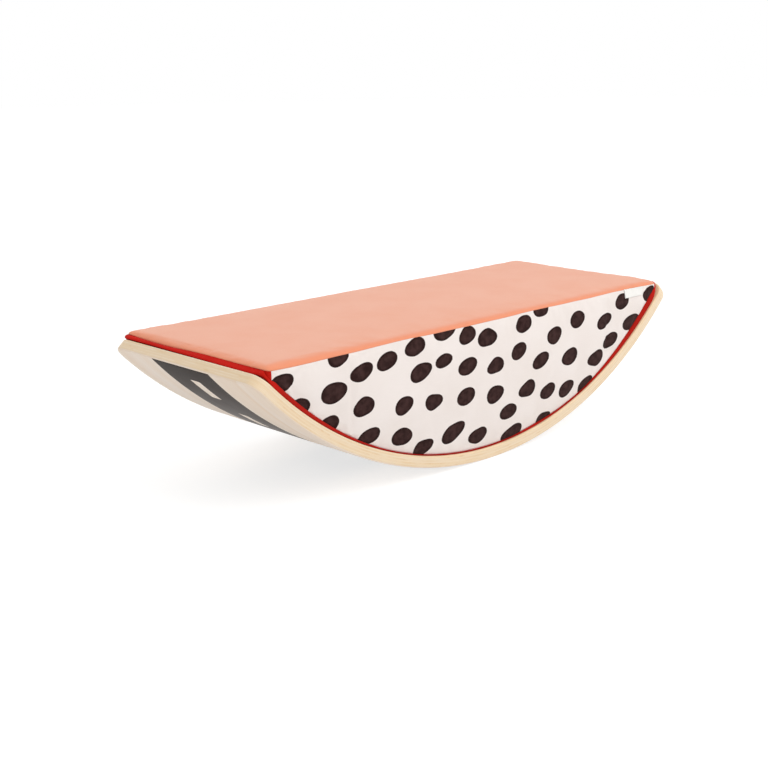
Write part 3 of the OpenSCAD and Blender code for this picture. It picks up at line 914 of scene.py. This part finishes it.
class Cover:
    """Closed mesh of the cushion's cover, with each face marked by its panel.

    The back panel closes the slit beyond the zip's ends.
    """

    def __init__(self):
        self.points, self.faces, self.panels = [], [], []
        self.pinned = set()
        self.build()
        self.points = np.array(self.points)
        self.panel_of = np.full(len(self.points), "", dtype="U8")
        for k, face in enumerate(map(list, self.faces)):
            if self.panels[k] == "zip" and abs(self.points[face, 0]).min() > SLIT_END:
                self.panels[k] = "back"
            self.panel_of[face] = self.panels[k]

    def add(self, points):
        """Adds points and gives their numbers."""
        start = len(self.points)
        self.points += [tuple(p) for p in points]
        return list(range(start, len(self.points)))

    def quad(self, panel, *corners):
        """Adds a face, with fewer corners where some fall together."""
        kept = [c for k, c in enumerate(corners) if c not in corners[:k]]
        if len(kept) > 2:
            self.faces.append(tuple(kept))
            self.panels.append(panel)

    def band(self, panel, low, high, closed=True, blunt=(0, 0)):
        """Strip of faces between two rows; the cells at its blunt ends belong to the red panel."""
        n = len(low)
        cells = n if closed else n - 1
        for k in range(cells):
            after = (k + 1) % n
            red = k < blunt[0] or k >= cells - blunt[1]
            self.quad("bottom" if red else panel, low[k], low[after], high[after], high[k])

    def cap(self, panel, ring, grid, up):
        """Sheet of faces inside a ring, facing up or down."""
        inner = self.add(grid[1:-1, 1:-1].reshape(-1, 3))
        for corners in sheet_faces(ring, inner, NX, NY):
            self.quad(panel, *(corners if up else corners[::-1]))
        return inner

    def build(self):
        """Top with its rolled edge, red edge and underside, then the two side panels between them."""
        plan, out = cushion_ring(0)
        seam = seam_height(plan, out)
        on_left = plan[:, 0] < 0
        turns = [pi / 2 * k / ROLL_STEPS for k in range(ROLL_STEPS + 1)]

        def top_ring(turn):
            p, _ = cushion_ring(ROLL_WIDTH * (1 - cos(turn)))
            dip = TOP_DIP * ramp(p[:, 0], DIP_START, DIP_LENGTH)
            level = SEAM_Z + TOP_ROLL - dip - TOP_DROOP * right_corner(p)
            return np.c_[p, seam + (level - seam) * sin(turn)]

        seam_points = np.c_[plan - TOP_PINCH * out, seam]
        top_rings = [self.add(seam_points)] + [self.add(top_ring(t)) for t in turns[1:]]
        self.top_seam = top_rings[0]
        for low, high in zip(top_rings, top_rings[1:]):
            self.band("top", low, high)
        grid = cap_grid(top_ring(turns[-1]))
        u = np.linspace(-1, 1, NX + 1)[:, None]
        v = np.linspace(-1, 1, NY + 1)[None, :]
        grid[:, :, 2] += TOP_CROWN * (1 - u ** 4) * (1 - v * v)
        self.cap("top", top_rings[-1], grid, True)

        strip = seam - seat_z(plan[:, 0])
        most = strip * np.where(on_left, STRIP_LIMIT_LEFT, STRIP_LIMIT_RIGHT)
        low_ids = list(self.top_seam)
        for k in (*range(1, NX), *range(NX + NY + 1, 2 * NX + NY)):
            strip[k] = min(red_strip(plan[k, 0]), most[k])
            p = plan[k] - LOW_PINCH * out[k]
            low_ids[k] = self.add([(p[0], p[1], seat_z(plan[k, 0]) + strip[k])])[0]

        end = out[:, 0] ** 2
        tilt = np.where(on_left, NOSE_TILT * np.clip(plan[:, 1] / TILT_REACH, -1, 1), 0)

        def low_ring(side_turn, end_turn):
            way = (1 - end) * side_turn[0] + end * end_turn[0] * np.where(on_left, 1, RED_END_RIGHT)
            p = plan + way[:, None] * out
            z = (1 - end) * (seat_z(p[:, 0]) + strip * side_turn[1]) + end * (SEAM_Z + end_turn[1] + tilt)
            return np.c_[p, z]

        edges = [low_ring(s, e) for s, e in zip(RED_SIDE, RED_END)]
        low_rings = [low_ids] + [self.add(r) for r in edges]
        for high, low in zip(low_rings, low_rings[1:]):
            self.band("bottom", low, high)
            self.pinned.update(low)
        seat = cap_grid(edges[-1])
        seat[:, :, 2] = seat_z(seat[:, :, 0])
        self.pinned.update(self.cap("bottom", low_rings[-1], seat, False))
        self.pinned.update(low_ids)
        self.pinned.update(self.top_seam)

        self.side("front", range(0, NX + 1), plan, out, seam, low_ids)
        self.side("back", range(NX + NY, 2 * NX + NY + 1), plan, out, seam, low_ids, ZIP_SLIT)

    def side(self, panel, columns, plan, out, seam, low_ids, slit=None):
        """Side panel between its lower seam and the top seam, or the zip's slit under it."""
        even = [k / SIDE_ROWS for k in range(SIDE_ROWS + 1)]
        shares = [0.6 * s + 0.2 * (1 - cos(pi * s)) for s in even]
        columns = list(columns)
        inner = columns[1:-1]
        blunt = (CORNER_CELLS, CORNER_CELLS if slit else 0)
        first, last = low_ids[columns[0]], low_ids[columns[-1]]
        top = [self.top_seam[k] for k in columns]
        low = np.array([self.points[low_ids[k]][2] for k in inner])
        tall = seam[inner] - low
        gap = np.minimum(slit, SLIT_SHARE * tall) if slit else 0 * tall
        high = seam[inner] - gap
        full = SEAM_Z - seat_z(0.0)
        rows = [[low_ids[k] for k in columns]]
        for share in shares[1:] if slit else shares[1:-1]:
            swell = SIDE_SWELL * np.minimum(1, SWELL_RAMP * (high - low) / full) * 4 * share * (1 - share)
            p = plan[inner] + out[inner] * swell[:, None]
            rows.append([first, *self.add(np.c_[p, low + (high - low) * share]), last])
            self.pinned.update(rows[-1][:CORNER_CELLS + 1] + rows[-1][-CORNER_CELLS - 1:])
        bands = [(panel, rows)]
        if slit:
            self.pinned.update(rows[-1])
            zip_rows = [rows[-1]]
            for k in range(1, BAND_ROWS):
                ids = self.add(np.c_[plan[inner], high + gap * (k / BAND_ROWS)])
                self.pinned.update(ids)
                zip_rows.append([first, *ids, last])
            bands.append(("zip", zip_rows))
        bands[-1][1].append(top)
        for name, levels in bands:
            for below, above in zip(levels, levels[1:]):
                self.band(name, below, above, closed=False, blunt=blunt)


def set_camera():
    """Camera at the photograph's viewing angle."""
    scene = bpy.context.scene
    lens = setup(bpy.data.cameras.new("camera"), lens=CAMERA_LENS, sensor_width=CAMERA_SENSOR)
    scene.camera = new_object("camera", lens)
    turn = (Matrix.Rotation(CAMERA_TURN, 4, "Z") @ Matrix.Rotation(pi / 2 - CAMERA_DROP, 4, "X")
            @ Matrix.Rotation(CAMERA_ROLL, 4, "Z"))
    scene.camera.matrix_world = Matrix.Translation(CAMERA_PLACE) @ turn
    scene.view_settings.view_transform = "Standard"


def floor():
    """White studio floor that keeps a soft shadow."""
    rim = [(FLOOR_RADIUS * cos(a), FLOOR_RADIUS * sin(a), FLOOR_Z) for a in circle(FLOOR_STEPS)]
    mat = Shader("studio_floor")
    mat.tree.nodes.remove(mat.surface)
    paper, shown = (
        mat.add("BsdfDiffuse", {0: (tone, tone, tone, 1)}).outputs[0] for tone in (FLOOR_PAPER, FLOOR_SHOWN))
    glow = mat.add("Emission", {"Color": (1, 1, 1, 1), "Strength": FLOOR_GLOW}).outputs[0]
    both = mat.add("AddShader", {0: shown, 1: glow}).outputs[0]
    pick = mat.add("MixShader", {0: mat.seen(), 1: paper, 2: both}).outputs[0]
    mat.put(mat.tree.nodes["Material Output"].inputs["Surface"], pick)
    piece = make_object("floor", rim, [range(FLOOR_STEPS)], mat.owner)


def world():
    """Even white surround."""
    sky = Shader("surround", "worlds")
    bpy.context.scene.world = sky.owner
    strength = sky.add("MapRange", {"Value": sky.seen(), "To Min": SKY_LIGHT, "To Max": 1.0}).outputs[0]
    for name, value in (("Color", (1, 1, 1, 1)), ("Strength", strength)):
        sky.put(sky.tree.nodes["Background"].inputs[name], value)


def lamp(name, place, size, power):
    """Square area lamp that faces the object."""
    holder = new_object(name, setup(bpy.data.lights.new(name, "AREA"), size=size, energy=power))
    turn = (Vector(LAMP_TARGET) - Vector(place)).to_track_quat("-Z", "Y")
    setup(holder, location=place, rotation_mode="QUATERNION", rotation_quaternion=turn)


def vertex_data(mesh, kind):
    """Places or normals of a mesh's points."""
    found = np.zeros(3 * len(mesh.vertices), np.float32)
    mesh.vertices.foreach_get(kind, found)
    return found.reshape(-1, 3)


def panel_object(cover, panel, slot, material, seed=None):
    """One panel of the cover as a cloth of its own, with the distance to its dots stored on it."""
    faces = [f for f, p in zip(cover.faces, cover.panels) if p == panel]
    used = sorted({v for f in faces for v in f})
    at = {v: k for k, v in enumerate(used)}
    piece = make_object(f"cover_{panel}", cover.points[used], [[at[v] for v in f] for f in faces], material)
    setup(piece.modifiers.new("finer", "SUBSURF"), subdivision_type="SIMPLE", levels=1)
    settle(piece)
    if seed:
        away = distance_to_dots(vertex_data(piece.data, "co")[:, ::2], dot_layout(seed))
        stored = piece.data.attributes.new("dots", "FLOAT", "POINT")
        stored.data.foreach_set("value", away.astype(np.float32))
    thicken(piece, "cloth", CLOTH_THICK)
    return dress(piece, "cushion", slot, f"{panel}_panel")


def mesh_normals(points, faces):
    """Outward direction at each point of a closed mesh."""
    mesh = bpy.data.meshes.new("normals")
    mesh.from_pydata(points.tolist(), [], faces)
    found = vertex_data(mesh, "normal").astype(float)
    bpy.data.meshes.remove(mesh)
    return found


def fill_cover(cover):
    """Swells the cover's cloth between its seams, each panel within its own limit."""
    scene = bpy.context.scene
    work = make_object("cover_filling", cover.points, cover.faces, None)
    work.vertex_groups.new(name="seams").add(sorted(cover.pinned), 1.0, "REPLACE")
    filling = work.modifiers.new("filling", "CLOTH")
    setup(filling.settings, vertex_group_mass="seams", use_pressure=True, uniform_pressure_force=PRESSURE,
          shrink_min=-SLACK)
    filling.settings.effector_weights.gravity = 0
    setup(filling.point_cache, frame_start=1, frame_end=SIM_FRAMES)
    for number in range(1, SIM_FRAMES + 1):
        scene.frame_set(number)
    shaped = work.evaluated_get(bpy.context.evaluated_depsgraph_get()).data
    moved = vertex_data(shaped, "co") - cover.points
    scene.frame_set(1)
    bpy.data.objects.remove(work)
    length = np.linalg.norm(moved, axis=1)
    limit = np.array([SWELL_LIMIT.get(p, 0.0) for p in cover.panel_of])
    share = np.where(limit > 0, limit / (limit + length), 0)
    share[sorted(cover.pinned)] = 0
    cover.points = cover.points + moved * share[:, None]


def pucker(cover):
    """Small gathers along the seams and shallow unevenness of the filled cloth."""
    directions = mesh_normals(cover.points, cover.faces)
    for k, (p, panel) in enumerate(zip(cover.points, cover.panel_of)):
        if k in cover.pinned or panel not in SWELL_LIMIT:
            continue
        if panel == "top":
            side, end = HALF_SEAM - abs(p[1]), HALF_CUSHION - abs(p[0])
            near, along = min(side, end), p[0] if side < end else p[1]
            seed = 1.5 + round(copysign(1, p[1]))
        else:
            above, below = SEAM_Z - p[2], p[2] - seat_z(p[0]) - red_strip(p[0])
            near, along = min(above, below), p[0]
            seed = 7.5 + round(copysign(2, p[1])) + (0.5 if above < below + 1e-9 else 0)
        near = max(near, 0.0)
        fade = exp(-near / GATHER_REACH) * min(1.0, near / GATHER_START)
        gather = GATHER_SHARE * wander(along, GATHER_LENGTH, seed) * fade
        drift = noise.noise(Vector(p / DRIFT_SIZE)) * min(1.0, near / DRIFT_START)
        cover.points[k] = p + directions[k] * UNEVEN[panel] * (gather + drift)


def foam_block(cover):
    """Foam that fills the cover, set in behind its cloth."""
    inner = cover.points - FOAM_INSET * mesh_normals(cover.points, cover.faces)
    x = np.clip(inner[:, 0], FOAM_END - HALF_CUSHION, HALF_CUSHION - FOAM_END)
    y = np.clip(inner[:, 1], FOAM_INSET - HALF_SEAM, HALF_SEAM - FOAM_INSET)
    inner = np.c_[x, y, np.clip(inner[:, 2], seat_z(x) + FOAM_LIFT, SEAM_Z + FOAM_RISE)]
    piece = make_object("foam_block", inner, cover.faces, foam_pores())
    setup(piece.modifiers.new("coarse", "DECIMATE"), ratio=FOAM_DETAIL)
    return dress(piece, "cushion", "foam", "foam_core")


def on_surface(tree, x, z, side):
    """Point of a side panel's outer face at a place along and up."""
    hit, _, _, _ = tree.ray_cast(Vector((x, side * BOARD_WIDTH, z)), Vector((0, -side, 0)))
    return hit if hit else Vector((x, side * HALF_SEAM, z))


def seam_tag(tree):
    """Plain folded ribbon, caught in the front seam near the right end."""
    columns, rows, turns = 24, 8, 6
    points = []
    for i in range(columns + 1):
        x = TAG_RIGHT - TAG_WIDTH * (1 - i / columns)
        curl = TAG_CURL * wander(x, 0.015, 21.0)
        seam = seam_height(np.array([[x, -HALF_SEAM]]), np.array([[0.0, -1.0]]))[0]
        low, top = seam - TAG_DROP, seam + TAG_TUCK
        base = [on_surface(tree, x, seam - TAG_DROP * k / rows, -1).y for k in range(rows + 1)]

        def layer(k, out):
            return (x, base[k] - out + curl * k / rows, top - (top - low) * k / rows)

        middle, r = base[rows] - TAG_CLEAR - TAG_FOLD / 2 + curl, TAG_FOLD / 2
        bends = [pi * k / turns for k in range(1, turns)]
        points += [layer(k, TAG_CLEAR + TAG_FOLD) for k in range(rows + 1)]
        points += [(x, middle - r * cos(a), low - r * sin(a)) for a in bends]
        points += [layer(k, TAG_CLEAR) for k in range(rows, -1, -1)]
    faces = strip_faces(0, len(points) // (columns + 1), columns + 1, closed=False)
    piece = make_object("tag_ribbon", points, faces, tag_cloth())
    thicken(piece, "cloth", TAG_THICK, 0)
    return dress(piece, "cushion", "tag_cotton", "seam_tag")


def zip_tape(name, node, low, high, material):
    """Woven tape in the zip's slit, slightly rippled by its sewing."""
    columns, rows = 160, 4
    reach = SLIT_END + TAPE_TUCK
    points = []
    for i in range(columns + 1):
        x = reach * (2 * i / columns - 1)
        ripple = TAPE_RIPPLE * wander(x, 0.02, 31.0)
        points += [(x, TAPE_Y + ripple, low + (high - low) * k / rows) for k in range(rows + 1)]
    piece = make_object(name, points, strip_faces(0, rows + 1, columns + 1, closed=False), material)
    thicken(piece, "tape", TAPE_THICK)
    return dress(piece, "cushion", "zip_tape", node)


def zip_teeth():
    """Closed chain: two rows of interlocking coil loops on a sewn cord."""
    reach = HALF_CHAIN - CHAIN_END
    middle = (FOOT_Y + TOOTH_Y) / 2
    points, faces = [], []
    for row, shift in ((-1, 0.25), (1, 0.75)):
        for k in range(int(2 * reach / TOOTH_PITCH)):
            x = -reach + (k + shift) * TOOTH_PITCH
            faces += tube_faces(len(points), TOOTH_SIDES, len(TOOTH_PROFILE))
            points += [
                (x + TOOTH_LONG * radius * cos(a), middle + TOOTH_DEEP * min(radius, 0.5) * sin(a),
                 ZIP_Z + row * offset) for offset, radius in TOOTH_PROFILE for a in circle(TOOTH_SIDES)]
    faces += tube_faces(len(points), CORD_SIDES, CORD_STEPS + 1)
    points += [(HALF_CHAIN * (2 * i / CORD_STEPS - 1), CORD_Y + CORD_DEEP * sin(a),
                ZIP_Z + CORD_TALL * cos(a)) for i in range(CORD_STEPS + 1) for a in circle(CORD_SIDES)]
    piece = make_object("zip_teeth", points, faces, coil_plastic())
    face_outward(piece)
    return dress(piece, "cushion", "zip_coil", "zip_chain")


def rounded_copy(name, node, body, width, material):
    """Metal part in the shape of its solid, with its edges rounded off."""
    mesh = frame["nodes"][node].data.copy()
    mesh.name = name
    mesh.materials.clear()
    mesh.materials.append(material)
    piece = new_object(name, mesh)
    with mesh_work(mesh) as work:
        bmesh.ops.remove_doubles(work, verts=work.verts, dist=1e-6)
        bmesh.ops.dissolve_limit(work, angle_limit=radians(2), verts=work.verts, edges=work.edges)
        for face in work.faces:
            face.smooth = True
    setup(piece.modifiers.new("edges", "BEVEL"), width=width, segments=3, limit_method="ANGLE",
          angle_limit=radians(35), harden_normals=False)
    setup(piece.modifiers.new("even", "WEIGHTED_NORMAL"), keep_sharp=True)
    return dress(piece, body, "zip_metal", node)


def zip_stitching(tree):
    """Threads of the topstitching of the hem under the zip, and of the bar tacks at its two ends."""
    hem = SEAM_Z - ZIP_SLIT
    places = []
    for k in range(int(2 * SLIT_END / STITCH_PITCH)):
        x = -SLIT_END + (k + 0.5) * STITCH_PITCH
        places.append((on_surface(tree, x, hem - STITCH_BELOW, 1), (1, 0, 0), STITCH_LENGTH))
    for side in (-1, 1):
        for k in range(TACK_COUNT):
            at = on_surface(tree, side * (SLIT_END + TACK_OUT), hem - TACK_LOW + k * TACK_PITCH, 1)
            places.append((at, TACK_WAY, TACK_LENGTH))
    sides, rings = 6, 5
    points, faces = [], []
    for middle, way, length in places:
        way = Vector(way).normalized()
        one = way.orthogonal().normalized()
        two = way.cross(one)
        faces += tube_faces(len(points), sides, rings)
        for r in range(rings):
            t = pi * (r + 0.5) / rings
            at = middle - way * (length / 2) * cos(t)
            radius = STITCH_RADIUS * sin(t) ** 0.5
            points += [at + one * (radius * cos(a)) + two * (radius * sin(a)) for a in circle(sides)]
    piece = make_object("zip_stitching", points, faces, thread("white_thread", (236, 228, 224)))
    face_outward(piece)
    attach(piece, "cushion")


set_camera()
floor()
world()
for name, settings in LAMPS.items():
    lamp(name, *settings)

for number, (node, slot) in enumerate(VENEERS, 1):
    veneer(number, node, slot)
road_print()

cover = Cover()
foam_block(cover)
fill_cover(cover)
pucker(cover)
salmon = cloth("salmon_cotton", 0, 1, SALMON, 0.0009, 0.35, painted_shade=edge_painted_shade)
dotted = cloth("dotted_cotton", 0, 2, DOTTED, 0.0008, 0.05, printed=printed_dots)
red = cloth("red_cotton", 0, 1, RED, 0.0009, 0.02, painted_shade=crease_painted_shade)
tape = tape_cloth()
nickel = plated_metal()
top = panel_object(cover, "top", "salmon_cloth", salmon)
front = panel_object(cover, "front", "dotted_cloth", dotted, FRONT_SEED)
back = panel_object(cover, "back", "dotted_cloth", dotted, BACK_SEED)
bottom = panel_object(cover, "bottom", "red_cloth", red)

graph = bpy.context.evaluated_depsgraph_get()
seam_tag(BVHTree.FromObject(front, graph))
zip_tape("zip_tape_upper", "upper_zip_tape", ZIP_Z + TAPE_SPLIT / 2, SEAM_Z - TAPE_HEM, tape)
zip_tape("zip_tape_lower", "lower_zip_tape", SEAM_Z - ZIP_SLIT + TAPE_HEM, ZIP_Z - TAPE_SPLIT / 2, tape)
zip_teeth()
rounded_copy("zip_end_stops", "zip_stops", "cushion", 0.00015, nickel)
rounded_copy("zip_slider_body", "zip_slider", "slider", 0.00018, nickel)
rounded_copy("zip_pull_tab", "zip_pull", "pull", 0.00018, nickel)
zip_stitching(BVHTree.FromObject(back, graph))
